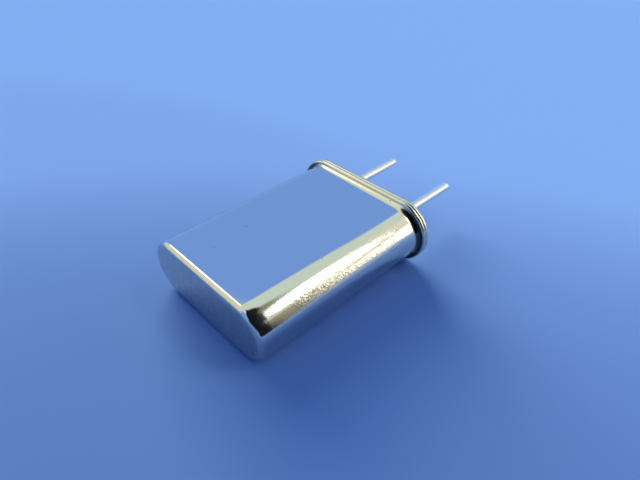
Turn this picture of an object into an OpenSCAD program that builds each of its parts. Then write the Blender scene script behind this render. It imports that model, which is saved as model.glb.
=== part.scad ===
// Quartz crystal unit in a welded, drawn metal can, with two wire leads.
// The unit lies on one flat side: its width runs along X, its leads point along +Y
// and its thickness stands along Z. The origin is the middle of the seating face,
// midway between the leads. Sub-parts are drawn standing on that face, with the can
// upwards and the leads downwards, and laid() tips them over.

/* [Can] */
// Width of the can's body over its two round ends
can_w = 10.1; // [9.6:0.1:10.8]
// Thickness of the can's body over its two flat sides
can_t = 3.65; // [3.3:0.05:4.2]
// Height from the seating face to the can's closed end
can_h = 13.2; // [12.4:0.1:15]
// Thickness of the drawn sheet
can_wall = 0.25; // [0.15:0.05:0.35]
// Outside radius of the drawn edge round the closed end
crown_r = 0.42; // [0.4:0.02:0.8]

/* [Welded rim] */
// How far both flanges stand out past the can's body
flange_out = 0.38; // [0.36:0.02:0.6]
// Radius of the neck where the can's wall turns out into its flange
neck_r = 0.3; // [0.1:0.02:0.3]
// Radius that rounds the sheared edge of both flanges
flange_edge_r = 0.06; // [0.02:0.01:0.07]

/* [Base] */
// Thickness of the base's flange
base_flange_t = 0.3; // [0.2:0.05:0.5]
// Height of the pedestal that stands on the flange inside the can
pedestal_h = 0.85; // [0.5:0.05:1.5]
// Gap between the pedestal and the can's wall
pedestal_gap = 0.08; // [0.04:0.01:0.2]
// Radius of the pedestal's upper edge
pedestal_edge_r = 0.15; // [0.05:0.05:0.3]

/* [Leads] */
// Distance between the two leads' centres
lead_pitch = 4.88; // [4.4:0.02:5.2]
// Diameter of the bare wire, where it runs through the glass
wire_d = 0.45; // [0.4:0.01:0.5]
// Diameter of a lead over its coat of solder
lead_d = 0.62; // [0.52:0.01:0.7]
// Length of a lead below the seating face
lead_out = 6.4; // [3:0.1:13]
// Bare wire between the seating face and the solder
solder_start = 0.2; // [0.1:0.05:0.5]
// Length over which the solder swells to its full diameter
solder_swell = 0.6; // [0.2:0.1:1]
// Length of a lead above the pedestal, with its head
lead_in = 0.5; // [0.3:0.05:0.9]
// Diameter of the flat head on the wire's inner end
head_d = 0.9; // [0.7:0.05:1.1]
// Thickness of the head
head_t = 0.12; // [0.08:0.02:0.2]

/* [Glass seals] */
// Diameter of the hole that each glass seal fills
seal_d = 1.9; // [1.5:0.05:2.2]
// How deep both faces of the glass are dished between wire and hole
seal_dish = 0.12; // [0.04:0.02:0.2]

/* [Mounting clips] */
// Thickness of the clip's spring strip
clip_t = 0.1; // [0.06:0.02:0.16]
// Width of the clip's strip
clip_w = 1.3; // [1:0.1:1.6]
// Inside radius of the clip's bend
clip_bend_r = 0.15; // [0.1:0.05:0.25]
// Gap between the clip's upright and the can's wall
clip_gap = 0.7; // [0.5:0.05:1]
// Length of the clip's foot past the lead's centre
clip_toe = 0.5; // [0.4:0.05:0.8]
// Length of the upright past the upper end of its slot
clip_head = 0.5; // [0.3:0.05:0.8]
// Clearance round the blank in the clip's slot
slot_gap = 0.04; // [0.02:0.01:0.1]

/* [Quartz blank] */
// Thickness of the blank
blank_t = 0.22; // [0.14:0.02:0.4]
// How far the blank's edge stands out through the clip's slot
blank_bite = 0.12; // [0.08:0.02:0.2]
// Width of the bevel ground round both faces of the blank
blank_bevel = 0.06; // [0.02:0.01:0.06]
// Diameter of the round electrode in the middle of each face
electrode_d = 4.6; // [3.5:0.1:5.2]
// Width of the electrode's tail, which runs out to its clip
tail_w = 0.9; // [0.6:0.1:1.2]
// Thickness of an electrode, drawn far thicker than a real plated film
film_t = 0.02; // [0.01:0.01:0.04]
// Diameter of the dab of conductive cement on each clip
cement_d = 1.1; // [0.9:0.05:1.3]

/* [Hidden] */
$fn = 64;

LEFT = -1;
RIGHT = 1;
TOP = 1;
BOTTOM = -1;

steel = [0.78, 0.77, 0.74];
tin = [0.82, 0.81, 0.77];
glass = [0.35, 0.38, 0.33];
spring = [0.7, 0.69, 0.66];
quartz = [0.85, 0.88, 0.9];
silver = [0.88, 0.87, 0.83];
silver_cement = [0.62, 0.62, 0.6];

// The can and the base share one oval: two round ends, whose centres are a spine apart.
body_r = can_t / 2;
spine = can_w - can_t;
cavity_r = body_r - can_wall;
cavity_top = can_h - can_wall;
flange_r = body_r + flange_out;

// The can's mouth sits on the base's flange. Its neck never outgrows the flange.
mouth_z = base_flange_t;
neck = min(neck_r, flange_out - flange_edge_r);
neck_x = body_r + neck;
neck_z = mouth_z + can_wall + neck;

pedestal_r = cavity_r - pedestal_gap;
pedestal_z = base_flange_t + pedestal_h;

lead_x = lead_pitch / 2;
lead_r = lead_d / 2;
wire_r = wire_d / 2;
lead_top = pedestal_z + lead_in;
seal_r = seal_d / 2;

// The clip's upright stands off the can's wall, and the blank's edge reaches through it.
upright_x = can_w / 2 - can_wall - clip_gap - clip_t;
blank_r = upright_x + clip_t + blank_bite;
blank_z = (lead_top + clip_t + cavity_top) / 2;
slot_half_h = sqrt(blank_r * blank_r - upright_x * upright_x) + slot_gap;
slot_half_w = blank_t / 2 + film_t + slot_gap;
upright_top = blank_z + slot_half_h + clip_head;

// Tips a standing sub-part over, so that it lies on the can's flat side.
module laid() {
    rotate([90, 0, 0])
        children();
}

// Turns a sub-part drawn for the right-hand side round to its own side.
module turned_to(side) {
    rotate([0, 0, side == LEFT ? 180 : 0])
        children();
}

// Sweeps a profile round the oval. The profile's x is its distance from the spine
// between the centres of the two round ends, and its y is the height.
module oval_sweep() {
    for (side = [LEFT, RIGHT])
        translate([side * spine / 2, 0, 0])
            rotate([0, 0, -90 * side])
                rotate_extrude(angle = 180)
                    children();
    rotate([90, 0, 90])
        linear_extrude(height = spine, center = true) {
            children();
            mirror([1, 0])
                children();
        }
}

// A block from the spine out to x, between two heights, with its upper edge rounded.
module crowned_profile(x, bottom, top, edge_r) {
    translate([0, bottom])
        square([x, top - edge_r - bottom]);
    translate([0, bottom])
        square([x - edge_r, top - bottom]);
    translate([x - edge_r, top - edge_r])
        circle(edge_r);
}

// A plate from the spine out to x, with both corners of its sheared edge rounded.
module plate_profile(x, bottom, top, edge_r) {
    translate([0, bottom])
        square([x - edge_r, top - bottom]);
    translate([0, bottom + edge_r])
        square([x, top - bottom - 2 * edge_r]);
    for (height = [bottom + edge_r, top - edge_r])
        translate([x - edge_r, height])
            circle(edge_r);
}

// What lies between the spine and an arc that turns the wall out, concave side outwards.
module flare_profile(bottom, arc_r) {
    difference() {
        translate([0, bottom])
            square([neck_x, neck_z - bottom]);
        translate([neck_x, neck_z])
            circle(arc_r);
    }
}

// A drawn cup of even sheet, with its mouth turned out into the welding flange.
module can_profile() {
    difference() {
        union() {
            crowned_profile(body_r, mouth_z, can_h, crown_r);
            plate_profile(flange_r, mouth_z, mouth_z + can_wall, flange_edge_r);
            flare_profile(mouth_z, neck);
        }
        // Both cuts start below the mouth, so that they open it right through.
        crowned_profile(cavity_r, 0, cavity_top, crown_r - can_wall);
        flare_profile(0, neck + can_wall);
    }
}

module can() {
    color(steel)
        laid()
            oval_sweep()
                can_profile();
}

// A flange that the can is welded to, and a pedestal that fills the can's mouth.
module base() {
    color(steel)
        laid()
            difference() {
                oval_sweep() {
                    plate_profile(flange_r, 0, base_flange_t, flange_edge_r);
                    crowned_profile(pedestal_r, 0, pedestal_z, pedestal_edge_r);
                }
                for (side = [LEFT, RIGHT])
                    translate([side * lead_x, 0, -base_flange_t])
                        cylinder(r = seal_r, h = pedestal_z + 2 * base_flange_t);
            }
}

// A glass bead fused between the wire and its hole. Both of its faces are dished,
// by an arc that runs from the wire's wall to the hole's wall.
module seal(side) {
    half = (seal_r - wire_r) / 2;
    dish_r = (half * half + seal_dish * seal_dish) / (2 * seal_dish);
    color(glass)
        laid()
            translate([side * lead_x, 0, 0])
                rotate_extrude()
                    difference() {
                        translate([wire_r, 0])
                            square([2 * half, pedestal_z]);
                        for (z = [seal_dish - dish_r, pedestal_z - seal_dish + dish_r])
                            translate([wire_r + half, z])
                                circle(dish_r);
                    }
}

// One side of the wire's outline, from its inner head to its rounded outer tip.
module lead_profile() {
    tip_z = lead_r - lead_out;
    swell_z = -solder_start - solder_swell;
    translate([0, lead_top - head_t])
        square([head_d / 2, head_t]);
    translate([0, -solder_start])
        square([wire_r, solder_start + lead_top]);
    polygon([[0, -solder_start], [0, swell_z], [lead_r, swell_z], [wire_r, -solder_start]]);
    translate([0, tip_z])
        square([lead_r, swell_z - tip_z]);
    intersection() {
        translate([0, tip_z])
            circle(lead_r);
        translate([0, -lead_out])
            square(lead_r);
    }
}

module lead(side) {
    color(tin)
        laid()
            translate([side * lead_x, 0, 0])
                rotate_extrude()
                    lead_profile();
}

// The bent strip seen from its edge: a foot on the lead's head, a bend and an upright.
module clip_profile() {
    bend_x = upright_x - clip_bend_r;
    bend_z = lead_top + clip_t + clip_bend_r;
    translate([lead_x - clip_toe, lead_top])
        square([bend_x - lead_x + clip_toe, clip_t]);
    intersection() {
        difference() {
            translate([bend_x, bend_z])
                circle(clip_bend_r + clip_t);
            translate([bend_x, bend_z])
                circle(clip_bend_r);
        }
        translate([bend_x, lead_top])
            square(clip_bend_r + clip_t);
    }
    translate([upright_x, bend_z])
        square([clip_t, upright_top - bend_z]);
}

// The right-hand clip, with the slot that the blank's edge sits in.
module slotted_strip() {
    difference() {
        rotate([90, 0, 0])
            linear_extrude(height = clip_w, center = true)
                clip_profile();
        translate([upright_x - clip_t, -slot_half_w, blank_z - slot_half_h])
            cube([3 * clip_t, 2 * slot_half_w, 2 * slot_half_h]);
    }
}

module clip(side) {
    color(spring)
        laid()
            turned_to(side)
                slotted_strip();
}

// A round disc with a bevel ground round both of its faces.
module disc() {
    half_t = blank_t / 2;
    face_r = blank_r - blank_bevel;
    edge_half_t = half_t - blank_bevel;
    translate([0, 0, blank_z])
        rotate([90, 0, 0])
            rotate_extrude()
                polygon([
                    [0, -half_t], [face_r, -half_t], [blank_r, -edge_half_t],
                    [blank_r, edge_half_t], [face_r, half_t], [0, half_t]
                ]);
}

module quartz_blank() {
    color(quartz)
        laid()
            disc();
}

// A round film in the middle of one face, with a tail that runs out to one clip.
module film(face, side) {
    translate([0, face * (blank_t + film_t) / 2, blank_z])
        rotate([90, 0, 0])
            linear_extrude(height = film_t, center = true)
                intersection() {
                    union() {
                        circle(d = electrode_d);
                        rotate(side == LEFT ? 180 : 0)
                            translate([0, -tail_w / 2])
                                square([blank_r, tail_w]);
                    }
                    circle(blank_r - blank_bevel);
                }
}

module electrode(face, side) {
    color(silver)
        laid()
            film(face, side);
}

// A dab that glues the blank's edge into one clip and joins the clip to its electrode.
module cement(side) {
    color(silver_cement)
        laid()
            difference() {
                translate([side * upright_x, 0, blank_z])
                    sphere(d = cement_d);
                disc();
                film(TOP, RIGHT);
                film(BOTTOM, LEFT);
                turned_to(side)
                    slotted_strip();
            }
}

can();
base();
seal(LEFT);  // seal_left
seal(RIGHT);  // seal_right
lead(LEFT);  // lead_left
lead(RIGHT);  // lead_right
clip(LEFT);  // clip_left
clip(RIGHT);  // clip_right
quartz_blank();
electrode(TOP, RIGHT);  // electrode_top
electrode(BOTTOM, LEFT);  // electrode_bottom
cement(LEFT);  // cement_left
cement(RIGHT);  // cement_right
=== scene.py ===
"""Looks of a quartz crystal unit: a nickel-plated can, welded to a base with two leads."""

import math
import random

import bmesh
import bpy
from bpy.props import FloatProperty, FloatVectorProperty, IntProperty, PointerProperty
from mathutils import Matrix, Vector


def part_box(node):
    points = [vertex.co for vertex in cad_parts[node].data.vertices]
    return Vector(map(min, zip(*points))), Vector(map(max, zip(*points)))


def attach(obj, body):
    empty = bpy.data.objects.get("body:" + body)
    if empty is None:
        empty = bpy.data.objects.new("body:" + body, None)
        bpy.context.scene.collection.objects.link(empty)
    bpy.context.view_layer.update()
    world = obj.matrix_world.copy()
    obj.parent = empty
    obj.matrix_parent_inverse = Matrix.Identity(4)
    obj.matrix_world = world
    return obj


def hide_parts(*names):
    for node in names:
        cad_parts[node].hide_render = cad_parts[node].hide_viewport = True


bl_info = {
    "name": "Quartz Crystal Unit",
    "version": (1, 0, 0),
    "blender": (4, 5, 0),
    "location": "View3D > Sidebar > Crystal Unit",
    "description": "A drawn can on a header base, with its glass seals, leads and works",
    "category": "Add Mesh",
}

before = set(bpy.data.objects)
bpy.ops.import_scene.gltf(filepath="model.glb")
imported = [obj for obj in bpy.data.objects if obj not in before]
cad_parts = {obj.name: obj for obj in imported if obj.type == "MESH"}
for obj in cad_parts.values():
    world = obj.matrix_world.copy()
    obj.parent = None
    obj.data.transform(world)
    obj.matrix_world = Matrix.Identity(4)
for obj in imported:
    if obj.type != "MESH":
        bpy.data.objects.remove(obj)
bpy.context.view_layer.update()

MM = 0.001
# Vertices nearer to each other than this are one.
MERGE = 2e-7
# The leads point along Y. Sections of the can are drawn upwards from its spine.
SIDEWAYS, ALONG, UPWARDS = Vector((1, 0, 0)), Vector((0, 1, 0)), Vector((0, 0, 1))


def linear(hex_code):
    """An sRGB hex colour as linear red, green and blue."""
    channels = [int(hex_code[i : i + 2], 16) / 255 for i in (1, 3, 5)]
    return [c / 12.92 if c <= 0.04045 else ((c + 0.055) / 1.055) ** 2.4 for c in channels]


def length(name, description, millimetres):
    """A length property whose default is given in millimetres."""
    return FloatProperty(
        name=name,
        description=description,
        default=millimetres * MM,
        min=0.0,
        unit="LENGTH",
        precision=5,
    )


def colour(name, description, hex_code):
    """A colour property whose default is an sRGB hex value."""
    return FloatVectorProperty(
        name=name,
        description=description,
        default=linear(hex_code),
        min=0.0,
        max=1.0,
        size=3,
        subtype="COLOR",
    )


def strength(name, description, default):
    """A property for the strength of a light."""
    return FloatProperty(
        name=name, description=description, default=default, min=0.0, soft_max=20.0
    )


# ---------------------------------------------------------------- sizes and colours


class CanSettings(bpy.types.PropertyGroup):
    """Sizes and colours of the drawn can, and of the rim it shares with the base"""

    sheet: length("Sheet", "Thickness of the drawn steel sheet", 0.25)
    flange_out: length("Flange", "How far the welded flange stands out past the body", 0.38)
    crown_radius: length("Edge radius", "Radius drawn round the closed end", 0.35)
    lean: length("Lean", "How far the wall leans in before the closed end's edge", 0.032)
    lean_start: length("Lean start", "How far from the closed end the lean starts", 0.8)
    flare: length("Flare", "How far above the flange the wall starts to turn out", 0.26)
    flare_out: length("Flare width", "How far the wall has turned out at the flange", 0.14)
    flare_radius: length("Flare radius", "Bevel that eases the wall into the flare", 0.2)
    neck_radius: length("Neck radius", "Radius where the flare meets the flange", 0.045)
    mouth_radius: length("Mouth radius", "Radius of the can's inner mouth edge", 0.5)
    edge_radius: length("Rim radius", "Radius on the sheared edge of both flanges", 0.11)
    pressed_radius: length("Pressed radius", "Radius pressed by the weld's electrode", 0.16)
    end_steps: IntProperty(
        name="Steps round an end",
        description="Number of steps in each half-round end",
        default=72,
        min=16,
        max=128,
    )
    plating: colour("Nickel", "Colour of the bright nickel plating", "#D8D6D1")
    weld_tint: colour("Weld tint", "Straw tint that the weld's heat leaves", "#EFE7C8")
    grain: length("Grain", "Width of one dimple of the drawn sheet's orange peel", 0.085)


class BaseSettings(bpy.types.PropertyGroup):
    """Sizes of the header base"""

    flange_thickness: length("Flange", "Thickness of the base's flange", 0.3)
    pedestal_gap: length("Pedestal gap", "Gap between the pedestal and the wall", 0.08)
    pedestal_radius: length("Pedestal edge", "Radius of the pedestal's upper edge", 0.15)


class LeadSettings(bpy.types.PropertyGroup):
    """Sizes and colours of the soldered leads"""

    wire: length("Bare wire", "Diameter of the bare wire in its glass seal", 0.45)
    soldered: length("Soldered wire", "Diameter of the lead over its coat of solder", 0.62)
    solder_start: length("Solder start", "Bare wire between the seat and the solder", 0.2)
    solder_swell: length("Solder swell", "Length over which the solder swells", 0.6)
    head: length("Head", "Thickness of the flat head on the inner end", 0.12)
    unevenness: FloatProperty(
        name="Unevenness",
        description="How much the solder's diameter wanders along a lead",
        default=0.018,
        min=0.0,
        max=0.05,
        subtype="FACTOR",
    )
    solder: colour("Solder", "Colour of the tin-lead coat", "#F7F3E6")
    bare: colour("Bare wire", "Colour of the nickel-iron wire", "#B4ADA0")


class SealSettings(bpy.types.PropertyGroup):
    """Sizes and colour of the glass seals"""

    dish: length("Dish", "How deep the glass is dished between wire and hole", 0.12)
    glass: colour("Glass", "Colour of the seal's glass", "#3E4A42")
    bubbles: length("Bubbles", "Spacing of the tiny bubbles in the glass", 0.16)


class WorksSettings(bpy.types.PropertyGroup):
    """Colours of the parts inside the can"""

    spring: colour("Spring strip", "Colour of the clips' rolled nickel silver", "#C2BCAC")
    quartz: colour("Quartz", "Colour of the lapped quartz disc", "#EDF1F0")
    film: colour("Silver film", "Colour of the evaporated silver", "#F1EDE4")
    tarnish: colour("Tarnish", "Colour that old silver turns at its edges", "#D9C489")
    cement: colour("Cement", "Colour of the silver-loaded cement", "#A9A8A2")


class StageSettings(bpy.types.PropertyGroup):
    """Colours of the floor and the room, and strengths of the lights"""

    floor: colour("Floor", "Colour of the plain floor", "#8CB7FB")
    backdrop: colour("Backdrop", "Colour of the backdrop that the top mirrors", "#83B1FF")
    ceiling: colour("Ceiling", "Colour of the ceiling", "#E4F4E6")
    pale_wall: colour("Pale wall", "Colour of the wall below the key light", "#FFFDE2")
    warm_wall: colour("Warm wall", "Colour of the wall below the fill light", "#F6F4D4")
    grey_wall: colour("Grey wall", "Colour between the pale wall and dark side", "#B2AF9A")
    dark_side: colour("Dark side", "Colour of the unlit side of the room", "#1B1B1E")
    far_wall: colour("Far wall", "Colour of the low wall behind the camera", "#7392CC")
    overhead: colour("Overhead", "Colour of the unlit ceiling right above", "#20242E")
    fringe: colour("Fringe", "Colour where the lit ceiling ends", "#8C8B78")
    ambient: strength("Ambient", "Strength of the backdrop's even light all round", 0.28)
    key: strength("Key light", "Brightness of the soft light behind, to the right", 4.5)
    low: strength("Low light", "Brightness of the soft light under the key light", 1.35)
    fill: strength("Fill light", "Brightness of the small soft light to the left", 1.6)
    daylight: strength("Daylight", "Strength of the light that only dull faces see", 4.5)


class UnitSettings(bpy.types.PropertyGroup):
    """All settings of the crystal unit and its stage"""

    can: PointerProperty(type=CanSettings)
    base: PointerProperty(type=BaseSettings)
    leads: PointerProperty(type=LeadSettings)
    seals: PointerProperty(type=SealSettings)
    works: PointerProperty(type=WorksSettings)
    stage: PointerProperty(type=StageSettings)


# ---------------------------------------------------------------- modelling helpers


def pick(obj, mode, wanted):
    """Selects only those vertices or edges of the edited mesh that the test accepts."""
    mesh = bmesh.from_edit_mesh(obj.data)
    for item in (*mesh.verts, *mesh.edges, *mesh.faces):
        item.select = False
    items = mesh.verts if mode == "VERT" else mesh.edges
    found = [item for item in items if wanted(item)]
    for item in found:
        item.select = True
    mesh.select_mode = {mode}
    mesh.select_flush_mode()
    bmesh.update_edit_mesh(obj.data)
    bpy.context.tool_settings.mesh_select_mode = (mode == "VERT", mode == "EDGE", False)
    return len(found)


def draw_outline(name, origin, outwards, profile):
    """Draws a section: one vertex, extruded from point to point, with rounded corners.

    Each row of the profile says how far outwards from the origin and how far along Y a
    point lies. A rounded corner's row adds its radius and its number of steps.
    """
    points = [origin + out * outwards + along * ALONG for out, along, *_ in profile]
    bpy.ops.object.select_all(action="DESELECT")
    bpy.ops.mesh.primitive_plane_add(size=MM)
    obj = bpy.context.object
    obj.name = obj.data.name = name
    bpy.ops.object.mode_set(mode="EDIT")
    bpy.ops.mesh.merge(type="CENTER")
    bpy.ops.transform.translate(value=points[0])
    for start, end in zip(points, points[1:]):
        bpy.ops.mesh.extrude_vertices_move(TRANSFORM_OT_translate={"value": end - start})
    for point, (_, _, *rounding) in zip(points, profile):
        if rounding:
            round_corner(obj, point, *rounding)
    return obj


def round_corner(obj, corner, radius, steps):
    """Bevels the outline's vertex at a corner into an arc."""
    if not pick(obj, "VERT", lambda vertex: (vertex.co - corner).length < MERGE):
        raise RuntimeError(f"{obj.name} has no corner at {tuple(corner)}")
    bpy.ops.mesh.bevel(
        affect="VERTICES", offset_type="OFFSET", offset=radius, segments=steps
    )


def sweep_round_oval(obj, half_spine, steps):
    """Takes an outline drawn above the right-hand spine end once round the oval."""
    bpy.ops.mesh.select_all(action="SELECT")
    for end in (half_spine, -half_spine):
        bpy.ops.mesh.spin(steps=steps, angle=math.pi, center=(end, 0, 0), axis=(0, -1, 0))
        bpy.ops.mesh.extrude_edges_move(TRANSFORM_OT_translate={"value": (-2 * end, 0, 0)})


def spin_round(obj, axis, steps):
    """Spins an outline once round the line along Y at x = axis."""
    bpy.ops.mesh.select_all(action="SELECT")
    bpy.ops.mesh.spin(steps=steps, angle=2 * math.pi, center=(axis, 0, 0), axis=(0, 1, 0))


def copy_across(obj, name, axis, turn):
    """Copies a round piece, with its mesh, to the other side of the unit.

    The copy is turned about its own axis, so that both sides don't show the same face.
    """
    bpy.ops.object.select_all(action="DESELECT")
    copy = obj.copy()
    copy.data = obj.data.copy()
    copy.name = copy.data.name = name
    bpy.context.scene.collection.objects.link(copy)
    bpy.context.view_layer.objects.active = copy
    copy.select_set(True)
    bpy.ops.object.mode_set(mode="EDIT")
    bpy.ops.mesh.select_all(action="SELECT")
    bpy.ops.transform.rotate(value=turn, orient_axis="Y", center_override=(axis, 0, 0))
    bpy.ops.transform.translate(value=(-2 * axis, 0, 0))
    bpy.ops.object.mode_set(mode="OBJECT")
    return copy


def close_shell(obj):
    """Merges doubles, turns all normals outwards and leaves edit mode."""
    bpy.ops.mesh.select_all(action="SELECT")
    bpy.ops.mesh.remove_doubles(threshold=MERGE)
    bpy.ops.mesh.normals_make_consistent(inside=False)
    bpy.ops.object.mode_set(mode="OBJECT")
    shell = bmesh.new()
    shell.from_mesh(obj.data)
    open_edges = sum(not edge.is_manifold for edge in shell.edges)
    shell.free()
    if open_edges:
        raise RuntimeError(f"{obj.name} has {open_edges} open edges")


def apply_modifier(obj, kind, **settings):
    """Adds a modifier, sets it up and applies it."""
    modifier = obj.modifiers.new(kind.title(), kind)
    for key, value in settings.items():
        setattr(modifier, key, value)
    bpy.ops.object.modifier_apply(modifier=modifier.name)


def smooth(obj, angle):
    """Shades smoothly, and keeps large flat faces flat beside small round ones."""
    bpy.ops.object.select_all(action="DESELECT")
    obj.select_set(True)
    bpy.context.view_layer.objects.active = obj
    bpy.ops.object.shade_smooth_by_angle(angle=math.radians(angle))
    apply_modifier(obj, "WEIGHTED_NORMAL", weight=90, keep_sharp=True)


def dress(obj, material, slot, *nodes):
    """Gives a finished piece its material and body, and hides the nodes it stands for. The
    slot is not used.
    """
    obj.data.materials.clear()
    obj.data.materials.append(material)
    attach(obj, "root")
    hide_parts(*nodes)


def dress_nodes(material, *nodes):
    """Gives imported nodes, whose shapes stay, their material."""
    for node in nodes:
        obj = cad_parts[node]
        obj.data.materials.clear()
        obj.data.materials.append(material)


# ---------------------------------------------------------------- materials


def plug(node, sockets):
    """Sets a node's sockets, or links them to a socket or another node's first output."""
    for key, value in sockets.items():
        if isinstance(value, bpy.types.Node):
            value = next(output for output in value.outputs if output.enabled)
        if isinstance(value, bpy.types.NodeSocket):
            node.id_data.links.new(value, node.inputs[key])
        else:
            node.inputs[key].default_value = value


def add_node(tree, kind, sockets=None, **settings):
    """Adds a shader node, sets it up and plugs in its sockets."""
    node = tree.nodes.new("ShaderNode" + kind)
    for key, value in settings.items():
        setattr(node, key, value)
    plug(node, sockets or {})
    return node


def start_material(name, constants):
    """A material with one Principled shader, its constants and its object coordinates."""
    material = bpy.data.materials.new(name)
    material.use_nodes = True
    tree = material.node_tree
    shader = tree.nodes["Principled BSDF"]
    plug(shader, constants)
    return material, tree, shader, add_node(tree, "TexCoord").outputs["Object"]


def rgba(values):
    """A linear colour with full opacity, as a colour socket takes it."""
    return (*values, 1.0)


def beyond(tree, x, axis):
    """How far out a point lies past the nearer line along Y, at x = axis or -axis."""
    across = add_node(tree, "Math", {0: x}, operation="ABSOLUTE")
    return add_node(tree, "Math", {0: across, 1: axis}, operation="SUBTRACT")


def distance(tree, sideways, z):
    """Distance from a line along Y, for a point that lies so far beside it and above it."""
    flat = add_node(tree, "CombineXYZ", {"X": sideways, "Y": z})
    return add_node(tree, "VectorMath", {0: flat}, operation="LENGTH")


def distance_from_spine(tree, past_end, z):
    """Distance from the oval's spine, the flat line that its round ends are swept round."""
    outside = add_node(tree, "Math", {0: past_end, 1: 0.0}, operation="MAXIMUM")
    return distance(tree, outside, z)


def nickel_plate(s, half_spine, neck, shoulder, crown):
    """Bright nickel plated on a deep-drawn steel cup.

    The flat sides stay mirror-flat, the round ends carry the orange peel and the
    lengthwise marks that drawing leaves, and the weld's heat tints the rim.
    """
    material, tree, shader, place = start_material("Bright nickel plate", {"Metallic": 1.0})
    x, y, z = add_node(tree, "SeparateXYZ", {"Vector": place}).outputs
    # Middles and half lengths, along the can, of its worn strip and its one scratch.
    strip_middle, strip_half = -6.2 * MM, 3.4 * MM
    scratch_middle, scratch_half = -4.8 * MM, 1.9 * MM
    # The round ends begin where the sheet was stretched round the punch.
    past_end = beyond(tree, x, half_spine)
    stretched = add_node(
        tree,
        "MapRange",
        {"Value": past_end, "From Min": 0.275 * MM, "From Max": 1.175 * MM, "To Min": 0.04},
        interpolation_type="SMOOTHSTEP",
    )
    # Orange peel, one dimple to each grain of the stretched sheet.
    peel = add_node(
        tree,
        "TexNoise",
        {"Vector": place, "Scale": 1 / s.grain, "Detail": 2.0, "Roughness": 0.6},
    )
    peel_height = add_node(tree, "Math", {0: peel, 1: stretched}, operation="MULTIPLY")
    # Draw marks run along the can, 0.07 mm apart and some 5 mm long.
    along = add_node(
        tree,
        "Mapping",
        {"Vector": place, "Scale": (1 / (0.07 * MM), 1 / (5 * MM), 1 / (0.07 * MM))},
    )
    marks = add_node(
        tree, "TexNoise", {"Vector": along, "Scale": 1.0, "Detail": 3.0, "Roughness": 0.7}
    )
    marks_height = add_node(tree, "Math", {0: marks, 1: stretched}, operation="MULTIPLY")
    # A worn strip runs along each round end, where cans rub together in their bin.
    beside = add_node(
        tree,
        "MapRange",
        {"Value": past_end, "From Min": 0.875 * MM, "From Max": 1.725 * MM},
    )
    strip = add_node(tree, "ValToRGB", {"Fac": beside})
    stops = strip.color_ramp.elements
    stops[0].color = stops[1].color = rgba((0, 0, 0))
    stops.new(0.35).color = rgba((1, 1, 1))
    stops.new(0.7).color = rgba((1, 1, 1))
    # It is worn in patches of 1.7 mm, and fades out before both ends of the can. The
    # rest of the round end is a fifth as worn.
    patch = add_node(
        tree,
        "TexNoise",
        {"Vector": place, "Scale": 1 / (1.7 * MM), "Detail": 5.0, "Roughness": 0.75},
    )
    patchy = add_node(
        tree,
        "MapRange",
        {"Value": patch, "From Min": 0.34, "From Max": 0.5},
        interpolation_type="SMOOTHSTEP",
    )
    worn = add_node(tree, "Math", {0: strip, 1: patchy}, operation="MULTIPLY")
    from_middle = add_node(tree, "Math", {0: y, 1: strip_middle}, operation="SUBTRACT")
    off_middle = add_node(tree, "Math", {0: from_middle}, operation="ABSOLUTE")
    off_ends = add_node(
        tree,
        "MapRange",
        {"Value": off_middle, "From Min": strip_half + 1.8 * MM, "From Max": strip_half},
        interpolation_type="SMOOTHSTEP",
    )
    handled = add_node(
        tree, "Math", {0: stretched, 1: 0.2, 2: worn}, operation="MULTIPLY_ADD"
    )
    rubbed = add_node(tree, "Math", {0: handled, 1: off_ends}, operation="MULTIPLY")
    # Rubbing roughens it grain by grain, 0.09 mm each.
    rub = add_node(
        tree,
        "TexNoise",
        {"Vector": place, "Scale": 1 / (0.09 * MM), "Detail": 1.0, "Roughness": 0.6},
    )
    rub_height = add_node(tree, "Math", {0: rub, 1: rubbed}, operation="MULTIPLY")
    # Some of these grains are dull.
    grains = add_node(
        tree,
        "MapRange",
        {"Value": rub, "From Min": 0.5, "From Max": 0.62, "To Max": 0.7},
        interpolation_type="SMOOTHSTEP",
    )
    dull_grains = add_node(tree, "Math", {0: grains, 1: rubbed}, operation="MULTIPLY")
    # A few pits and dust specks, 0.09 mm wide, one in each cell of 1.3 mm.
    cells = add_node(tree, "TexVoronoi", {"Vector": place, "Scale": 1 / (1.3 * MM)})
    specks = add_node(
        tree,
        "MapRange",
        {"Value": cells, "From Min": 0.02, "From Max": 0.05, "To Min": 1.0, "To Max": 0.0},
        interpolation_type="SMOOTHSTEP",
    )
    # Handling smudges, a few millimetres across, dull the polish a little.
    smudge = add_node(
        tree,
        "TexNoise",
        {"Vector": place, "Scale": 1 / (2.6 * MM), "Detail": 4.0, "Roughness": 0.55},
    )
    polish = add_node(
        tree,
        "MapRange",
        {
            "Value": smudge,
            "From Min": 0.35,
            "From Max": 0.75,
            "To Min": 0.05,
            "To Max": 0.11,
        },
    )
    # One long scratch runs beside the worn strip, a little slanted and wavering.
    slanted = add_node(tree, "Math", {0: y, 1: 0.025, 2: x}, operation="MULTIPLY_ADD")
    wavering = add_node(
        tree, "Math", {0: smudge, 1: 0.05 * MM, 2: slanted}, operation="MULTIPLY_ADD"
    )
    line = add_node(
        tree,
        "Math",
        {0: wavering, 1: half_spine + 1.195 * MM, 2: 0.015 * MM},
        operation="COMPARE",
    )
    stretch = add_node(
        tree, "Math", {0: y, 1: scratch_middle, 2: scratch_half}, operation="COMPARE"
    )
    scratch = add_node(tree, "Math", {0: line, 1: stretch}, operation="MULTIPLY")
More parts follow.
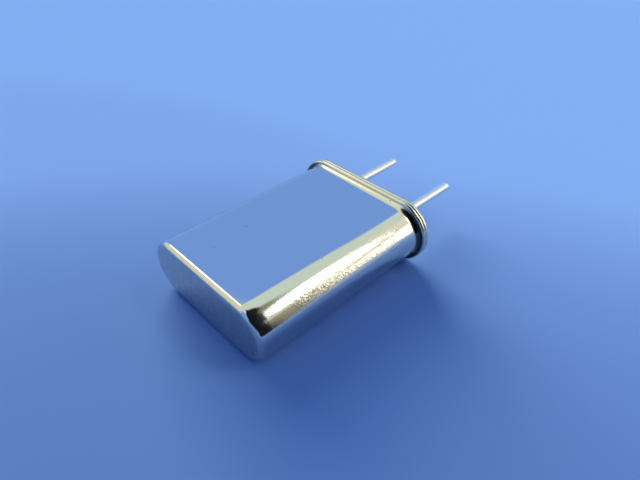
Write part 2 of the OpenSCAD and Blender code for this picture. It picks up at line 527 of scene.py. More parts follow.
    # The closed end was pressed by the punch, which left it mottled and duller.
    closed_end = add_node(
        tree,
        "MapRange",
        {"Value": y, "From Min": crown + 0.25 * MM, "From Max": crown + 0.05 * MM},
    )
    mottle = add_node(
        tree,
        "TexNoise",
        {"Vector": place, "Scale": 1 / (0.4 * MM), "Detail": 4.0, "Roughness": 0.65},
    )
    mottled = add_node(
        tree,
        "MapRange",
        {"Value": mottle, "From Min": 0.45, "From Max": 0.65, "To Max": 0.3},
    )
    pressed = add_node(tree, "Math", {0: closed_end, 1: mottled}, operation="MULTIPLY")
    # The rim took the weld's heat, over about half a millimetre.
    rim = add_node(
        tree,
        "MapRange",
        {"Value": y, "From Min": shoulder - 0.5 * MM, "From Max": shoulder - 0.05 * MM},
        interpolation_type="SMOOTHSTEP",
    )
    blotch = add_node(tree, "Math", {0: smudge, 1: 0.5, 2: 0.6}, operation="MULTIPLY_ADD")
    heat = add_node(tree, "Math", {0: rim, 1: blotch}, operation="MULTIPLY")
    # Specks, the pressed end and the weld's oxide each add to the polish's roughness.
    roughness = polish
    for flaw, share in ((specks, 0.3), (pressed, 0.6), (heat, 0.16)):
        roughness = add_node(
            tree, "Math", {0: flaw, 1: share, 2: roughness}, operation="MULTIPLY_ADD"
        )
    # Painted shade darkens the neck's corner, on the round ends' rings from wall to flange.
    inner = add_node(
        tree,
        "MapRange",
        {
            "Value": distance_from_spine(tree, past_end, z),
            "From Min": neck + 0.17 * MM,
            "From Max": neck + 0.09 * MM,
        },
        interpolation_type="SMOOTHSTEP",
    )
    deep = add_node(
        tree,
        "MapRange",
        {"Value": y, "From Min": shoulder - 0.41 * MM, "From Max": shoulder - 0.23 * MM},
        interpolation_type="SMOOTHSTEP",
    )
    round_end = add_node(
        tree,
        "MapRange",
        {"Value": past_end, "From Min": 0.2 * MM, "From Max": 1.2 * MM},
        interpolation_type="SMOOTHSTEP",
    )
    corner = add_node(tree, "Math", {0: inner, 1: deep}, operation="MULTIPLY")
    painted_neck_shade = add_node(tree, "Math", {0: corner, 1: round_end}, operation="MULTIPLY")
    flaws = specks
    for flaw in (dull_grains, scratch, pressed):
        flaws = add_node(tree, "Math", {0: flaws, 1: flaw}, operation="MAXIMUM")
    plating = rgba(s.plating)
    for cover, tint in (
        (heat, s.weld_tint),
        (flaws, linear("#A09A8E")),
        # Dark grey painted shade in the neck's corner.
        (painted_neck_shade, linear("#55534F")),
    ):
        plating = add_node(
            tree, "Mix", {"Factor": cover, "A": plating, "B": rgba(tint)}, data_type="RGBA"
        )
    normal = {}
    for height, depth in (
        (peel_height, 0.003 * MM),
        (marks_height, 0.002 * MM),
        (rub_height, 0.012 * MM),
    ):
        bump = add_node(tree, "Bump", {"Height": height, "Distance": depth, **normal})
        normal = {"Normal": bump}
    plug(shader, {"Base Color": plating, "Roughness": roughness, **normal})
    return material


def header_plate(s, lead_axis, hole, half_spine, rim):
    """Nickel plated on a stamped steel plate.

    Rolling leaves faint lines along the strip, and firing the glass into its holes
    leaves a straw and grey ring round each of them.
    """
    material, tree, shader, place = start_material(
        "Nickel-plated stamping", {"Metallic": 1.0}
    )
    x, _, z = add_node(tree, "SeparateXYZ", {"Vector": place}).outputs
    # Rolling lines lie along X. They are drawn 0.05 mm apart, coarser than real ones.
    along = add_node(
        tree,
        "Mapping",
        {"Vector": place, "Scale": (1 / (3 * MM), 1 / (0.05 * MM), 1 / (0.05 * MM))},
    )
    rolling = add_node(
        tree, "TexNoise", {"Vector": along, "Scale": 1.0, "Detail": 3.0, "Roughness": 0.65}
    )
    # Plating nodules, 0.04 mm across, give the sheared edges their sparkle.
    nodules = add_node(
        tree,
        "TexNoise",
        {"Vector": place, "Scale": 1 / (0.04 * MM), "Detail": 2.0, "Roughness": 0.6},
    )
    # The fired ring round each lead is clouded, so its edge wavers.
    cloud = add_node(
        tree,
        "TexNoise",
        {"Vector": place, "Scale": 1 / (0.7 * MM), "Detail": 4.0, "Roughness": 0.6},
    )
    from_lead = distance(tree, beyond(tree, x, lead_axis), z)
    wavy = add_node(
        tree, "Math", {0: cloud, 1: 0.35 * MM, 2: from_lead}, operation="MULTIPLY_ADD"
    )
    fired = add_node(
        tree, "MapRange", {"Value": wavy, "From Min": hole, "From Max": hole + 0.9 * MM}
    )
    halo = add_node(tree, "ValToRGB", {"Fac": fired})
    stops = halo.color_ramp.elements
    stops[0].color = rgba(linear("#9A958C"))
    stops[1].color = rgba(s.plating)
    stops.new(0.25).color = rgba(linear("#B9AE97"))
    stops.new(0.5).color = rgba(linear("#D0C6A9"))
    polish = add_node(
        tree,
        "MapRange",
        {"Value": cloud, "From Min": 0.3, "From Max": 0.7, "To Min": 0.16, "To Max": 0.3},
    )
    # The weld's heat oxidised the outer edge of the flange.
    heat = add_node(
        tree,
        "MapRange",
        {
            "Value": distance_from_spine(tree, beyond(tree, x, half_spine), z),
            "From Min": rim - 0.35 * MM,
            "From Max": rim - 0.05 * MM,
        },
        interpolation_type="SMOOTHSTEP",
    )
    oxide = add_node(
        tree, "Math", {0: heat, 1: 0.06, 2: polish}, operation="MULTIPLY_ADD"
    )
    tinted = add_node(
        tree, "Mix", {"Factor": heat, "A": halo, "B": rgba(s.weld_tint)}, data_type="RGBA"
    )
    lines = add_node(tree, "Bump", {"Height": rolling, "Distance": 0.0012 * MM})
    sparkle = add_node(
        tree, "Bump", {"Height": nodules, "Distance": 0.0008 * MM, "Normal": lines}
    )
    plug(shader, {"Base Color": tinted, "Roughness": oxide, "Normal": sparkle})
    return material


def seal_glass(s, lead_axis, hole):
    """Sealing glass, pressed as beads and fired between the wire and its hole.

    Fire leaves the surface glossy. Below it the glass is dark and green-grey, paler
    where it runs thin on the metal, and full of tiny bubbles.
    """
    material, tree, shader, place = start_material(
        "Fired sealing glass", {"IOR": 1.52, "Specular IOR Level": 0.5}
    )
    x, _, z = add_node(tree, "SeparateXYZ", {"Vector": place}).outputs
    cloud = add_node(
        tree,
        "TexNoise",
        {"Vector": place, "Scale": 1 / (0.5 * MM), "Detail": 4.0, "Roughness": 0.6},
    )
    shaded = rgba([0.55 * channel for channel in s.glass])
    body = add_node(
        tree, "Mix", {"Factor": cloud, "A": shaded, "B": rgba(s.glass)}, data_type="RGBA"
    )
    # Bubbles 0.03 to 0.05 mm wide show as pale dots just under the surface.
    cells = add_node(tree, "TexVoronoi", {"Vector": place, "Scale": 1 / s.bubbles})
    bubbles = add_node(
        tree,
        "MapRange",
        {"Value": cells, "From Min": 0.1, "From Max": 0.17, "To Min": 0.7, "To Max": 0.0},
        interpolation_type="SMOOTHSTEP",
    )
    thin = add_node(
        tree,
        "MapRange",
        {
            "Value": distance(tree, beyond(tree, x, lead_axis), z),
            "From Min": hole - 0.16 * MM,
            "From Max": hole,
        },
        interpolation_type="SMOOTHSTEP",
    )
    for cover, hex_code in ((bubbles, "#8E9C90"), (thin, "#76837A")):
        tint = rgba(linear(hex_code))
        body = add_node(
            tree, "Mix", {"Factor": cover, "A": body, "B": tint}, data_type="RGBA"
        )
    gloss = add_node(tree, "MapRange", {"Value": cloud, "To Min": 0.03, "To Max": 0.14})
    # Fire-polished glass keeps a shallow ripple, about 0.3 mm from crest to crest.
    ripple = add_node(
        tree, "TexNoise", {"Vector": place, "Scale": 1 / (0.3 * MM), "Detail": 2.0}
    )
    bump = add_node(tree, "Bump", {"Height": ripple, "Distance": 0.008 * MM})
    plug(shader, {"Base Color": body, "Roughness": gloss, "Normal": bump})
    return material


def soldered_wire(s):
    """Tin-lead solder, hot-dipped on a nickel-iron wire.

    The coat froze satin and slightly frosted, pale and warm, with runs along the
    wire. The bare wire at the glass is darker and smoother.
    """
    material, tree, shader, place = start_material("Hot-dipped solder", {"Metallic": 0.92})
    _, y, _ = add_node(tree, "SeparateXYZ", {"Vector": place}).outputs
    coated = add_node(
        tree,
        "MapRange",
        {
            "Value": y,
            "From Min": s.solder_start,
            "From Max": s.solder_start + 0.4 * s.solder_swell,
        },
        interpolation_type="SMOOTHSTEP",
    )
    # Frost is grains of about 0.09 mm, runs are 0.15 mm wide and 2 mm long.
    frost = add_node(
        tree,
        "TexNoise",
        {"Vector": place, "Scale": 1 / (0.09 * MM), "Detail": 3.0, "Roughness": 0.6},
    )
    along = add_node(
        tree,
        "Mapping",
        {"Vector": place, "Scale": (1 / (0.15 * MM), 1 / (2 * MM), 1 / (0.15 * MM))},
    )
    runs = add_node(tree, "TexNoise", {"Vector": along, "Scale": 1.0, "Detail": 2.0})
    pale = add_node(
        tree,
        "Mix",
        {"Factor": runs, "A": rgba(s.solder), "B": rgba(linear("#FEFCF5"))},
        data_type="RGBA",
    )
    coat = add_node(
        tree, "Mix", {"Factor": coated, "A": rgba(s.bare), "B": pale}, data_type="RGBA"
    )
    frosted = add_node(
        tree,
        "MapRange",
        {"Value": frost, "From Min": 0.3, "From Max": 0.7, "To Min": 0.36, "To Max": 0.46},
    )
    satin = add_node(tree, "Mix", {"Factor": coated, "A": 0.24, "B": frosted})
    run_bump = add_node(tree, "Bump", {"Height": runs, "Distance": 0.012 * MM})
    frost_bump = add_node(
        tree, "Bump", {"Height": frost, "Distance": 0.004 * MM, "Normal": run_bump}
    )
    plug(shader, {"Base Color": coat, "Roughness": satin, "Normal": frost_bump})
    return material


def spring_strip(s):
    """Nickel silver, cold-rolled to hard spring strip, with fine rolling lines along it."""
    material, tree, shader, place = start_material(
        "Rolled nickel silver", {"Metallic": 1.0, "Anisotropic": 0.4}
    )
    # Rolling lines run up the strip. They are drawn 0.04 mm apart, coarser than real ones.
    along = add_node(
        tree,
        "Mapping",
        {"Vector": place, "Scale": (1 / (0.6 * MM), 1 / (4 * MM), 1 / (0.04 * MM))},
    )
    rolling = add_node(
        tree, "TexNoise", {"Vector": along, "Scale": 1.0, "Detail": 3.0, "Roughness": 0.7}
    )
    stain = add_node(
        tree,
        "TexNoise",
        {"Vector": place, "Scale": 1 / (0.8 * MM), "Detail": 4.0, "Roughness": 0.6},
    )
    warm = add_node(
        tree,
        "Mix",
        {"Factor": stain, "A": rgba(s.spring), "B": rgba(linear("#A89F8C"))},
        data_type="RGBA",
    )
    satin = add_node(tree, "MapRange", {"Value": rolling, "To Min": 0.22, "To Max": 0.42})
    bump = add_node(tree, "Bump", {"Height": rolling, "Distance": 0.002 * MM})
    plug(shader, {"Base Color": warm, "Roughness": satin, "Normal": bump})
    return material


def lapped_quartz(s):
    """Synthetic quartz, sawn and lapped with fine grit: clear, but frosted all over."""
    material, tree, shader, place = start_material(
        "Lapped quartz",
        {"IOR": 1.544, "Transmission Weight": 1.0, "Base Color": rgba(s.quartz)},
    )
    # Lapping pits of 5 micrometres are drawn 0.03 mm wide, to show at all.
    pits = add_node(
        tree,
        "TexNoise",
        {"Vector": place, "Scale": 1 / (0.03 * MM), "Detail": 3.0, "Roughness": 0.7},
    )
    haze = add_node(tree, "MapRange", {"Value": pits, "To Min": 0.26, "To Max": 0.44})
    bump = add_node(tree, "Bump", {"Height": pits, "Distance": 0.003 * MM})
    plug(shader, {"Roughness": haze, "Normal": bump})
    return material


def silver_film(s):
    """Silver evaporated on lapped quartz: satin from the pits, tarnished in patches."""
    material, tree, shader, place = start_material("Evaporated silver", {"Metallic": 1.0})
    # The quartz's pits show through, as wide as they are drawn there.
    pits = add_node(
        tree,
        "TexNoise",
        {"Vector": place, "Scale": 1 / (0.03 * MM), "Detail": 3.0, "Roughness": 0.7},
    )
    # Tarnish spreads in clouds of 1.2 mm.
    cloud = add_node(
        tree,
        "TexNoise",
        {"Vector": place, "Scale": 1 / (1.2 * MM), "Detail": 5.0, "Roughness": 0.55},
    )
    patches = add_node(
        tree,
        "MapRange",
        {"Value": cloud, "From Min": 0.5, "From Max": 0.8, "To Max": 0.6},
        interpolation_type="SMOOTHSTEP",
    )
    aged = add_node(
        tree,
        "Mix",
        {"Factor": patches, "A": rgba(s.film), "B": rgba(s.tarnish)},
        data_type="RGBA",
    )
    satin = add_node(tree, "MapRange", {"Value": pits, "To Min": 0.2, "To Max": 0.36})
    bump = add_node(tree, "Bump", {"Height": pits, "Distance": 0.002 * MM})
    plug(shader, {"Base Color": aged, "Roughness": satin, "Normal": bump})
    return material


def silver_cement(s):
    """Epoxy loaded with silver flake, dabbed on and baked: dull grey with tiny glints."""
    material, tree, shader, place = start_material("Silver-loaded epoxy", {"IOR": 1.55})
    # Flakes of 0.05 mm, each with a shade and a gloss of its own.
    flakes = add_node(tree, "TexVoronoi", {"Vector": place, "Scale": 1 / (0.05 * MM)})
    glinting, shading, dulling = add_node(
        tree, "SeparateColor", {"Color": flakes.outputs["Color"]}
    ).outputs
    glint = add_node(
        tree, "MapRange", {"Value": glinting, "From Min": 0.55, "From Max": 0.95}
    )
    shaded = rgba([0.7 * channel for channel in s.cement])
    shade = add_node(
        tree, "Mix", {"Factor": shading, "A": shaded, "B": rgba(s.cement)}, data_type="RGBA"
    )
    dull = add_node(tree, "MapRange", {"Value": dulling, "To Min": 0.38, "To Max": 0.75})
    # The dab dried with soft lumps, 0.25 mm across.
    lumps = add_node(
        tree, "TexNoise", {"Vector": place, "Scale": 1 / (0.25 * MM), "Detail": 3.0}
    )
    bump = add_node(tree, "Bump", {"Height": lumps, "Distance": 0.03 * MM})
    plug(
        shader, {"Base Color": shade, "Metallic": glint, "Roughness": dull, "Normal": bump}
    )
    return material


def matt_paper(s):
    """Backdrop paper, dyed all through and uncoated: one even colour, hardly any sheen."""
    constants = {"Roughness": 0.9, "Specular IOR Level": 0.1, "Base Color": rgba(s.floor)}
    return start_material("Matt paper", constants)[0]


def scrim_net():
    """Woven net, doubled at the edge near the unit and ever thinner away from it."""
    material, tree, shader, place = start_material("Woven scrim net", {"Roughness": 0.8})
    doubled_edge = (-31 * MM, 6 * MM, 20 * MM)
    away = add_node(tree, "VectorMath", {0: place, 1: doubled_edge}, operation="DISTANCE")
    thinner = add_node(
        tree,
        "MapRange",
        {
            "Value": away,
            "From Min": 26 * MM,
            "From Max": 66 * MM,
            "To Min": 0.87,
            "To Max": 0.0,
        },
        interpolation_type="SMOOTHSTEP",
    )
    plug(shader, {"Alpha": thinner})
    return material


# ---------------------------------------------------------------- the room


def heading(azimuth, elevation):
    """The direction at an azimuth, from +Y towards -X, and an elevation, in degrees."""
    az, el = math.radians(azimuth), math.radians(elevation)
    return Vector(
        (-math.sin(az) * math.cos(el), math.cos(az) * math.cos(el), math.sin(el))
    )


def spot_mask(tree, direction, azimuth, elevation, radius, soft):
    """One inside a round spot and nought outside it, with its measures in degrees."""
    near = add_node(
        tree,
        "VectorMath",
        {0: direction, 1: heading(azimuth, elevation)},
        operation="DOT_PRODUCT",
    )
    return add_node(
        tree,
        "MapRange",
        {
            "Value": near,
            "From Min": math.cos(math.radians(radius + soft)),
            "From Max": math.cos(math.radians(radius - soft)),
        },
        interpolation_type="SMOOTHSTEP",
    )


def panel_mask(tree, level, height, azimuth, half_width, low, high, soft):
    """One inside an upright panel and nought outside it, with its measures in degrees."""
    mask = spot_mask(tree, level, azimuth, 0, half_width, soft)
    for edge, below, above in ((low, 0.0, 1.0), (high, 1.0, 0.0)):
        side = add_node(
            tree,
            "MapRange",
            {
                "Value": height,
                "From Min": math.sin(math.radians(edge - soft)),
                "From Max": math.sin(math.radians(edge + soft)),
                "To Min": below,
                "To Max": above,
            },
            interpolation_type="SMOOTHSTEP",
        )
        mask = add_node(tree, "Math", {0: mask, 1: side}, operation="MULTIPLY")
    return mask


def build_room(world, s):
    """The room that the metal mirrors. It lights dull surfaces evenly, from all round."""
    world.use_nodes = True
    tree = world.node_tree
    tree.nodes.clear()
    gaze = add_node(tree, "TexCoord").outputs["Generated"]
    height = add_node(tree, "SeparateXYZ", {"Vector": gaze}).outputs["Z"]
    flat = add_node(tree, "VectorMath", {0: gaze, 1: (1.0, 1.0, 0.0)}, operation="MULTIPLY")
    level = add_node(tree, "VectorMath", {0: flat}, operation="NORMALIZE")
    room = add_node(tree, "ValToRGB", {"Fac": height})
    stops = room.color_ramp.elements
    stops[0].color = rgba(s.floor)
    stops[1].color = rgba(s.ceiling)
    for degrees, tint in ((12, s.backdrop), (47, s.backdrop), (51, s.ceiling)):
        stops.new(math.sin(math.radians(degrees))).color = rgba(tint)
    # A panel has an azimuth, a half width, a low and a high edge, and a softness. A spot
    # has an azimuth, an elevation, a radius and a softness. Later ones cover earlier ones.
    for tint, mask in (
        (s.ceiling, panel_mask(tree, level, height, -8, 26, 41, 80, 4)),
        (s.fringe, spot_mask(tree, gaze, -70, 76, 21.4, 1.6)),
        (s.overhead, spot_mask(tree, gaze, -60, 84, 19, 1.5)),
        (s.pale_wall, panel_mask(tree, level, height, -42, 24, 3, 58, 6)),
        (s.grey_wall, panel_mask(tree, level, height, -63, 5.5, 1, 31, 2)),
        (s.warm_wall, panel_mask(tree, level, height, 118, 33, 8, 62, 7)),
        (s.dark_side, panel_mask(tree, level, height, -121, 56, -10, 40, 2)),
        (s.dark_side, spot_mask(tree, gaze, -118, 50, 42, 2)),
        (s.far_wall, panel_mask(tree, level, height, -151, 29, -20, 20, 5)),
    ):
        room = add_node(
            tree, "Mix", {"Factor": mask, "A": room, "B": rgba(tint)}, data_type="RGBA"
        )
    # Mirrors and glass see the room, dull surfaces the backdrop, the camera bare floor.
    path = add_node(tree, "LightPath").outputs
    mirrored = add_node(
        tree,
        "Math",
        {0: path["Is Glossy Ray"], 1: path["Is Transmission Ray"]},
        operation="MAXIMUM",
    )
    seen = add_node(
        tree, "Math", {0: mirrored, 1: path["Is Camera Ray"]}, operation="MAXIMUM"
    )
    shown = rgba(s.backdrop)
    for share, tint in ((mirrored, room), (path["Is Camera Ray"], rgba(s.floor))):
        shown = add_node(
            tree, "Mix", {"Factor": share, "A": shown, "B": tint}, data_type="RGBA"
        )
    brightness = add_node(tree, "MapRange", {"Value": seen, "To Min": s.ambient})
    light = add_node(tree, "Background", {"Color": shown, "Strength": brightness})
    add_node(tree, "OutputWorld", {"Surface": light})


def add_softbox(name, place, size, turn, brightness, hex_code):
    """A soft oval light a metre away. Its place, size and turn are given in degrees."""
    lamp = bpy.data.lights.new(name, "AREA")
    lamp.shape = "ELLIPSE"
    lamp.size, lamp.size_y = (2 * math.tan(math.radians(side / 2)) for side in size)
    lamp.energy = brightness * math.pi * (math.pi / 4 * lamp.size * lamp.size_y)
    lamp.color = linear(hex_code)
    softbox = bpy.data.objects.new(name, lamp)
    bpy.context.scene.collection.objects.link(softbox)
    softbox.location = heading(*place)
    facing = softbox.location.to_track_quat("Z", "Y").to_matrix()
    turned = facing @ Matrix.Rotation(math.radians(turn), 3, "Z")
    softbox.rotation_euler = turned.to_euler()
    softbox.visible_camera = False


# ---------------------------------------------------------------- the pieces


class CRYSTAL_OT_can(bpy.types.Operator):
    """Draw the can's section, sweep it round the oval and plate it with nickel"""

    bl_idname = "crystal.can"
    bl_label = "Drawn Can"

    def execute(self, context):
        s = context.scene.crystal_unit.can
        low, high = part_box("can")
        rim, mouth, crown = high.z, high.y, low.y
        half_spine = high.x - rim
        wall = rim - s.flange_out
        neck = wall + s.flare_out
        inside = wall - s.sheet
        shoulder = mouth - s.sheet
        roof = crown + s.sheet
        section = (
            (0, crown),
            (wall - s.lean, crown, s.crown_radius, 14),
            (wall, crown + s.lean_start, 0.2 * s.lean_start, 4),
            (wall, shoulder - s.flare, s.flare_radius, 9),
            (neck, shoulder, s.neck_radius, 10),
            (rim, shoulder, s.pressed_radius, 8),
            (rim, mouth, s.edge_radius, 5),
            (inside, mouth, s.mouth_radius, 8),
            (inside, roof, s.crown_radius - s.sheet, 6),
            (0, roof),
        )
        can = draw_outline("can_shell", half_spine * SIDEWAYS, UPWARDS, section)
        sweep_round_oval(can, half_spine, s.end_steps)
        close_shell(can)
        smooth(can, 60)
        plate = nickel_plate(s, half_spine, neck, shoulder, crown)
        dress(can, plate, "nickel_plate", "can")
        return {"FINISHED"}


class CRYSTAL_OT_base(bpy.types.Operator):
    """Sweep the base's flange and pedestal, and cut the two holes for the seals"""

    bl_idname = "crystal.base"
    bl_label = "Header Base"

    def execute(self, context):
        unit = context.scene.crystal_unit
        s, can = unit.base, unit.can
        low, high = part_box("base")
        rim, seat, top = high.z, high.y, low.y
        half_spine = high.x - rim
        step = seat - s.flange_thickness
        pedestal = rim - can.flange_out - can.sheet - s.pedestal_gap
        section = (
            (0, seat),
            (rim, seat, can.edge_radius, 5),
            (rim, step, can.edge_radius, 5),
            (pedestal, step),
            (pedestal, top, s.pedestal_radius, 6),
            (0, top),
        )
        base = draw_outline("base_plate", half_spine * SIDEWAYS, UPWARDS, section)
        sweep_round_oval(base, half_spine, can.end_steps)
        close_shell(base)
        for node in ("seal_left", "seal_right"):
            seal_low, seal_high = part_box(node)
            hole = (seal_high.x - seal_low.x) / 2
            centre = (seal_low + seal_high) / 2
            bpy.ops.object.select_all(action="DESELECT")
            bpy.ops.mesh.primitive_cylinder_add(
                vertices=64,
                radius=hole,
                depth=2 * (seal_high.y - seal_low.y),
                location=centre,
                rotation=(math.pi / 2, 0, 0),
            )
            cutter = context.object
            bpy.ops.object.select_all(action="DESELECT")
            context.view_layer.objects.active = base
            base.select_set(True)
            apply_modifier(
                base, "BOOLEAN", object=cutter, operation="DIFFERENCE", solver="EXACT"
            )
            bpy.data.objects.remove(cutter)
        smooth(base, 60)
        plate = header_plate(can, abs(centre.x), hole, half_spine, rim)
        dress(base, plate, "header_plate", "base")
        return {"FINISHED"}


class CRYSTAL_OT_seals(bpy.types.Operator):
    """Spin a glass seal with dished faces, and copy it for the other lead"""

    bl_idname = "crystal.seals"
    bl_label = "Glass Seals"

    def execute(self, context):
        unit = context.scene.crystal_unit
        s = unit.seals
        low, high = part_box("seal_left")
        axis = (low.x + high.x) / 2
        hole = (high.x - low.x) / 2
        wire = unit.leads.wire / 2
        # Each dished face is an arc. Its end tangents meet above the middle of its chord,
        # and its bevel stops just short of both ends.
        half = (hole - wire) / 2
        middle = wire + half
        arc = (half**2 + s.dish**2) / (2 * s.dish)
        slope = math.asin(half / arc)
        peak = half * math.tan(slope)
        bevel = 0.98 * half / math.cos(slope)
        section = (
            (wire, high.y),
            (middle, high.y - peak, bevel, 14),
            (hole, high.y),
            (hole, low.y),
            (middle, low.y + peak, bevel, 10),
            (wire, low.y),
            (wire, high.y),
        )
        seal = draw_outline("seal_glass_left", axis * SIDEWAYS, SIDEWAYS, section)
        spin_round(seal, axis, 72)
        close_shell(seal)
        smooth(seal, 50)
        other = copy_across(seal, "seal_glass_right", axis, 2.2)
        glass = seal_glass(s, -axis, hole)
        dress(seal, glass, "seal_glass", "seal_left")
        dress(other, glass, "seal_glass", "seal_right")
        return {"FINISHED"}


class CRYSTAL_OT_leads(bpy.types.Operator):
    """Spin a headed wire with its uneven coat of solder, and copy it for the other side"""

    bl_idname = "crystal.leads"
    bl_label = "Soldered Leads"

    def execute(self, context):
        s = context.scene.crystal_unit.leads
        low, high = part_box("lead_left")
        axis = (low.x + high.x) / 2
        head_radius = (high.x - low.x) / 2
        wire, soldered = s.wire / 2, s.soldered / 2
        neck = low.y + s.head
        section = (
            (0, low.y),
            (head_radius, low.y, 0.3 * s.head, 4),
            (head_radius, neck, 0.3 * s.head, 4),
            (wire, neck, 0.5 * s.head, 4),
            (wire, s.solder_start, 0.3 * s.solder_swell, 6),
            (soldered, s.solder_start + s.solder_swell, 0.3 * s.solder_swell, 6),
            (soldered, high.y, 0.97 * soldered, 10),
            (0, high.y),
        )
        lead = draw_outline("lead_wire_left", axis * SIDEWAYS, SIDEWAYS, section)
        # The long straight edge of the coat is cut into rings.
        pick(
            lead,
            "EDGE",
            lambda edge: edge.verts[0].co.y > s.solder_start
            and abs(edge.verts[0].co.x - edge.verts[1].co.x) < MERGE
            and edge.calc_length() > 1 * MM,
        )
        bpy.ops.mesh.subdivide(number_cuts=26)
        spin_round(lead, axis, 48)
        close_shell(lead)
        self.freeze_unevenly(lead, s, axis, high.y - 0.5 * soldered)
        smooth(lead, 50)
        other = copy_across(lead, "lead_wire_right", axis, 2.5)
        solder = soldered_wire(s)
        dress(lead, solder, "soldered_wire", "lead_left")
        dress(other, solder, "soldered_wire", "lead_right")
        return {"FINISHED"}

    def freeze_unevenly(self, lead, s, axis, tip):
        """Makes each ring of the solder a bit wider or narrower, and puts it off centre."""
        coat = s.solder_start + 0.5 * s.solder_swell
        heights = [vertex.co.y for vertex in lead.data.vertices]
        rings = {round(height, 6) for height in heights if coat < height < tip}
        wander = random.Random(11)
        width = drift_x = drift_z = 0.0
        bpy.ops.object.mode_set(mode="EDIT")
        for ring in sorted(rings):
            width = 0.7 * width + wander.uniform(-1, 1) * s.unevenness
            drift_x = 0.8 * drift_x + wander.uniform(-0.2, 0.2) * s.unevenness
            drift_z = 0.8 * drift_z + wander.uniform(-0.2, 0.2) * s.unevenness
            pick(lead, "VERT", lambda vertex: abs(vertex.co.y - ring) < 5e-7)
            scale = 1 + max(-2 * s.unevenness, min(width, 2 * s.unevenness))
            bpy.ops.transform.resize(
                value=(scale, 1, scale), center_override=(axis, ring, 0)
            )
            drift = (drift_x * s.soldered / 2, 0, drift_z * s.soldered / 2)
            bpy.ops.transform.translate(value=drift)
        bpy.ops.object.mode_set(mode="OBJECT")


class CRYSTAL_OT_works(bpy.types.Operator):
    """Finish the clips, the quartz disc, its electrodes and its cement"""

    bl_idname = "crystal.works"
    bl_label = "Inner Works"

    def execute(self, context):
        s = context.scene.crystal_unit.works
        dress_nodes(spring_strip(s), "clip_left", "clip_right")
        dress_nodes(lapped_quartz(s), "quartz_blank")
        dress_nodes(silver_film(s), "electrode_top", "electrode_bottom")
        dress_nodes(silver_cement(s), "cement_left", "cement_right")
        return {"FINISHED"}


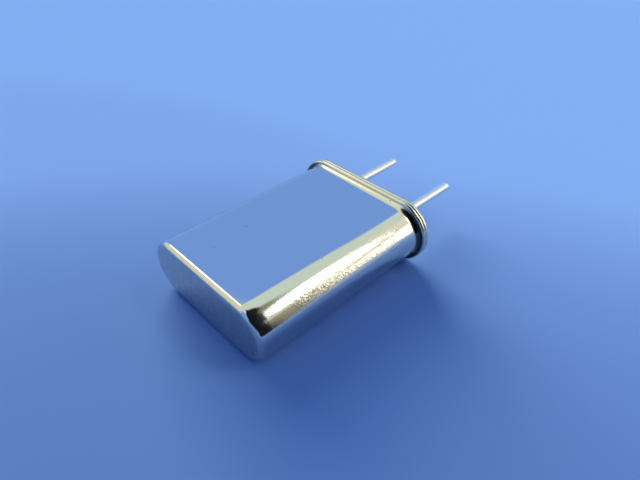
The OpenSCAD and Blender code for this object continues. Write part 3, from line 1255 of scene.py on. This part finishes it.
class CRYSTAL_OT_stage(bpy.types.Operator):
    """Lay the floor, set the soft lights and the room, and place the camera"""

    bl_idname = "crystal.stage"
    bl_label = "Stage"

    def execute(self, context):
        scene = context.scene
        s = scene.crystal_unit.stage
        self.lay_floor(context, s)
        self.hang_scrim(context)
        scene.world = bpy.data.worlds.new("studio")
        build_room(scene.world, s)
        add_softbox("key_softbox", (-43.5, 47.5), (28, 11), 46, s.key, "#FFFFFF")
        add_softbox("low_softbox", (-43, 17), (24, 25), 0, s.low, "#FFFDF4")
        add_softbox("fill_softbox", (91, 46.5), (19, 20), 0, s.fill, "#FFFDF4")
        self.let_in_daylight(scene, s)
        self.place_camera(scene)
        scene.view_settings.view_transform = "Standard"
        return {"FINISHED"}

    def lay_floor(self, context, s):
        """Lays a wide floor under the unit, tilted so that the unit rests on it."""
        floor_radius, middle_radius = 3.0, 0.2
        # The unit lies on the lowest edge of its rim and on its closed end's lower edge.
        can = context.scene.crystal_unit.can
        low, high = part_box("can")
        rim_y, rim_z = high.y - can.sheet + can.edge_radius, low.z
        end_y, end_z = low.y + can.crown_radius, low.z + can.flange_out
        slope = math.atan2(end_z - rim_z, rim_y - end_y)
        bpy.ops.object.select_all(action="DESELECT")
        bpy.ops.mesh.primitive_circle_add(
            vertices=96,
            radius=floor_radius,
            fill_type="NGON",
            location=(0, rim_y, rim_z),
            rotation=(-slope, 0, 0),
        )
        floor = context.object
        floor.name = floor.data.name = "floor"
        bpy.ops.object.mode_set(mode="EDIT")
        bpy.ops.mesh.inset(thickness=floor_radius - middle_radius)
        bpy.ops.object.mode_set(mode="OBJECT")
        bpy.ops.object.transform_apply(location=True, rotation=True, scale=True)
        floor.data.materials.append(matt_paper(s))

    def hang_scrim(self, context):
        """Hangs a half-clear scrim, whose shadow softens the daylight in front."""
        bpy.ops.object.select_all(action="DESELECT")
        bpy.ops.mesh.primitive_circle_add(
            vertices=48,
            radius=60 * MM,
            fill_type="NGON",
            location=(11 * MM, -36 * MM, 20 * MM),
        )
        scrim = context.object
        scrim.name = scrim.data.name = "scrim"
        bpy.ops.object.transform_apply(location=True, rotation=True, scale=True)
        # It only casts its shadow.
        scrim.visible_camera = scrim.visible_diffuse = False
        scrim.visible_glossy = scrim.visible_transmission = False
        scrim.data.materials.append(scrim_net())

    def let_in_daylight(self, scene, s):
        """Lights the whole floor evenly, so that its far edge stays unseen."""
        daylight = bpy.data.lights.new("daylight", "SUN")
        daylight.energy = s.daylight
        # So wide a source gives it soft shadows.
        daylight.angle = math.radians(42)
        daylight.color = linear("#FFF8E3")
        sky = bpy.data.objects.new("daylight", daylight)
        scene.collection.objects.link(sky)
        sky.rotation_euler = heading(72, 28).to_track_quat("Z", "Y").to_euler()
        sky.visible_camera = sky.visible_glossy = False

    def place_camera(self, scene):
        """Looks down on the top and the near round side, from beyond the closed end."""
        azimuth, drop, roll = (math.radians(angle) for angle in (45.19, 38.60, 0.73))
        lens = bpy.data.cameras.new("camera")
        lens.sensor_width = 36.0
        lens.lens = 27.97
        lens.clip_start = MM
        lens.clip_end = 20.0
        camera = bpy.data.objects.new("camera", lens)
        scene.collection.objects.link(camera)
        camera.location = (18.05 * MM, -22.21 * MM, 19.61 * MM)
        camera.rotation_euler = (
            Matrix.Rotation(azimuth, 4, "Z")
            @ Matrix.Rotation(math.pi / 2 - drop, 4, "X")
            @ Matrix.Rotation(roll, 4, "Z")
        ).to_euler()
        scene.camera = camera


# ---------------------------------------------------------------- the add-on


class VIEW3D_PT_crystal_unit(bpy.types.Panel):
    """Lists the operators in the order in which they build the unit"""

    bl_label = "Crystal Unit"
    bl_idname = "VIEW3D_PT_crystal_unit"
    bl_space_type = "VIEW_3D"
    bl_region_type = "UI"
    bl_category = "Crystal Unit"

    def draw(self, context):
        for operator in OPERATORS:
            self.layout.operator(operator.bl_idname)


OPERATORS = (
    CRYSTAL_OT_can,
    CRYSTAL_OT_base,
    CRYSTAL_OT_seals,
    CRYSTAL_OT_leads,
    CRYSTAL_OT_works,
    CRYSTAL_OT_stage,
)
CLASSES = (
    CanSettings,
    BaseSettings,
    LeadSettings,
    SealSettings,
    WorksSettings,
    StageSettings,
    UnitSettings,
    *OPERATORS,
    VIEW3D_PT_crystal_unit,
)


def register():
    for cls in CLASSES:
        bpy.utils.register_class(cls)
    bpy.types.Scene.crystal_unit = PointerProperty(type=UnitSettings)


def unregister():
    del bpy.types.Scene.crystal_unit
    for cls in reversed(CLASSES):
        bpy.utils.unregister_class(cls)


def main():
    """Builds the unit and its stage."""
    register()
    bpy.ops.crystal.can()
    bpy.ops.crystal.base()
    bpy.ops.crystal.seals()
    bpy.ops.crystal.leads()
    bpy.ops.crystal.works()
    bpy.ops.crystal.stage()


if __name__ == "__main__":
    main()
